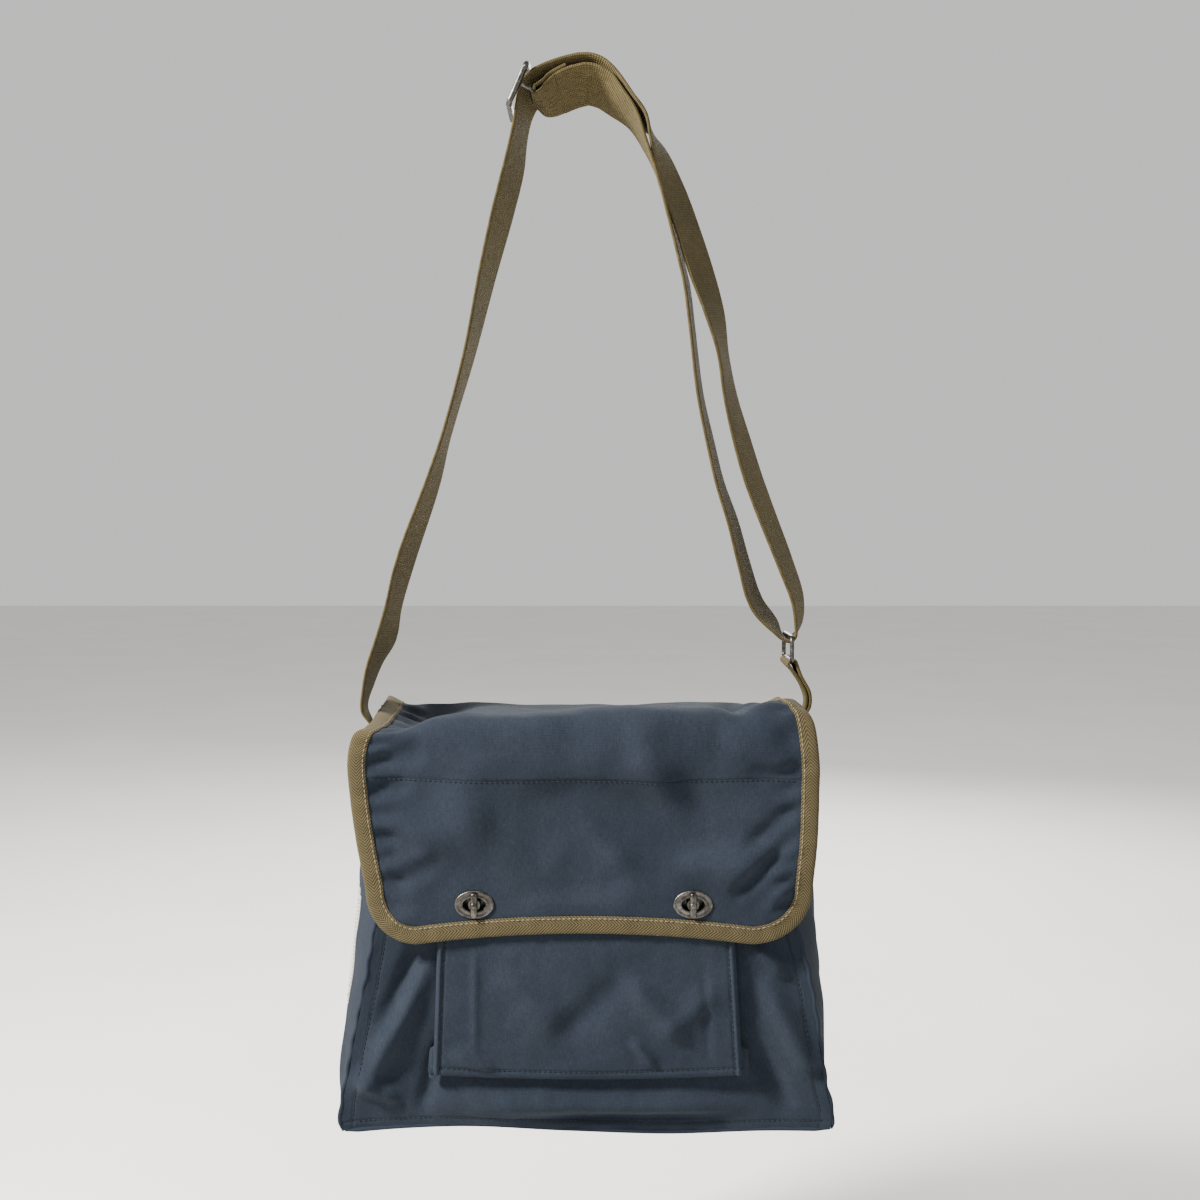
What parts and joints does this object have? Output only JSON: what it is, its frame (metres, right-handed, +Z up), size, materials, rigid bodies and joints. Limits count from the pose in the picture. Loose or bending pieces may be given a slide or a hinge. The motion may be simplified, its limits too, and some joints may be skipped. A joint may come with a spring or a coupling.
{
  "type": "mail bag",
  "caption": "Canvas mail bag hung by its webbing shoulder strap, with a taped flap, turn locks, a front bellows pocket, a strap slider and a wire ring.",
  "frame": {"origin": "underside of the shoulder strap where it lies over a hook", "axes": "+Z up, the way the bag hangs; +X to the right and +Y to the wall behind, seen from the front"},
  "size_m": [0.3567, 0.1137, 0.7678],
  "materials": {
    "canvas": "slate blue cotton canvas, matt",
    "lining": "slate blue cotton, matt",
    "webbing": "khaki cotton webbing, matt",
    "binding_tape": "khaki herringbone twill tape, matt",
    "antique_nickel": "antique nickel plate, worn satin",
    "label_cloth": "off-white woven cloth, blank"
  },
  "bodies": {
    "strap": {"strap_left_lower": "webbing", "strap_left_upper": "webbing", "strap_over_hook": "webbing", "strap_outer_upper": "webbing", "strap_outer_lower": "webbing", "strap_ring_bend": "webbing", "strap_inner_lower": "webbing", "strap_inner_upper": "webbing", "strap_under_hook": "webbing", "tab_loop": "webbing"},
    "bag": {"front_panel": "canvas", "back_panel": "canvas", "gusset_left": "canvas", "gusset_right": "canvas", "bottom_panel": "canvas", "pocket_front": "canvas", "pocket_gusset_left": "canvas", "pocket_gusset_right": "canvas", "pocket_gusset_bottom": "canvas", "strap_patch_left": "webbing", "tab_patch_right": "webbing", "side_label": "label_cloth", "turnlock_base_left": "antique_nickel", "turnlock_base_right": "antique_nickel", "turnlock_washer_left": "antique_nickel", "turnlock_washer_right": "antique_nickel"},
    "flap_top": {"flap_top_panel": "canvas", "flap_top_binding_left": "binding_tape", "flap_top_binding_right": "binding_tape"},
    "flap_front": {"flap_front_panel": "canvas", "flap_front_lining": "lining", "flap_front_binding": "binding_tape", "turnlock_eyelet_left": "antique_nickel", "turnlock_eyelet_right": "antique_nickel", "turnlock_backplate_left": "antique_nickel", "turnlock_backplate_right": "antique_nickel"},
    "knob_left": {"turnlock_knob_left": "antique_nickel"},
    "knob_right": {"turnlock_knob_right": "antique_nickel"},
    "ring": {"ring": "antique_nickel"},
    "slider": {"slider_frame": "antique_nickel", "slider_bar": "antique_nickel", "strap_end_loop": "webbing"}
  },
  "joints": [
    {"name": "bag_swing", "type": "hinge", "parent": "strap", "child": "bag", "pos_m": [-0.002, 0, -0.47], "axis": [1, 0, 0], "range_deg": [-45, 45]},
    {"name": "flap_lift", "type": "hinge", "parent": "bag", "child": "flap_top", "pos_m": [-0.002, 0.0392, -0.4687], "axis": [-1, 0, 0], "range_deg": [0, 20]},
    {"name": "flap_fold", "type": "hinge", "parent": "flap_top", "child": "flap_front", "pos_m": [-0.002, -0.063, -0.4687], "axis": [-1, 0, 0], "range_deg": [0, 150]},
    {"name": "knob_left_turn", "type": "hinge", "parent": "bag", "child": "knob_left", "pos_m": [-0.079, -0.0716, -0.596], "axis": [0, -1, 0], "range_deg": [0, 90]},
    {"name": "knob_right_turn", "type": "hinge", "parent": "bag", "child": "knob_right", "pos_m": [0.075, -0.0716, -0.596], "axis": [0, -1, 0], "range_deg": [0, 90]},
    {"name": "ring_swing", "type": "hinge", "parent": "strap", "child": "ring", "pos_m": [0.15, 0, -0.4298], "axis": [0, 1, 0], "range_deg": [-10, 10]},
    {"name": "slider_slide", "type": "slide", "parent": "strap", "child": "slider", "axis": [-0.2253, 0, -0.9743], "range_m": [0, 0.12]}
  ]
}
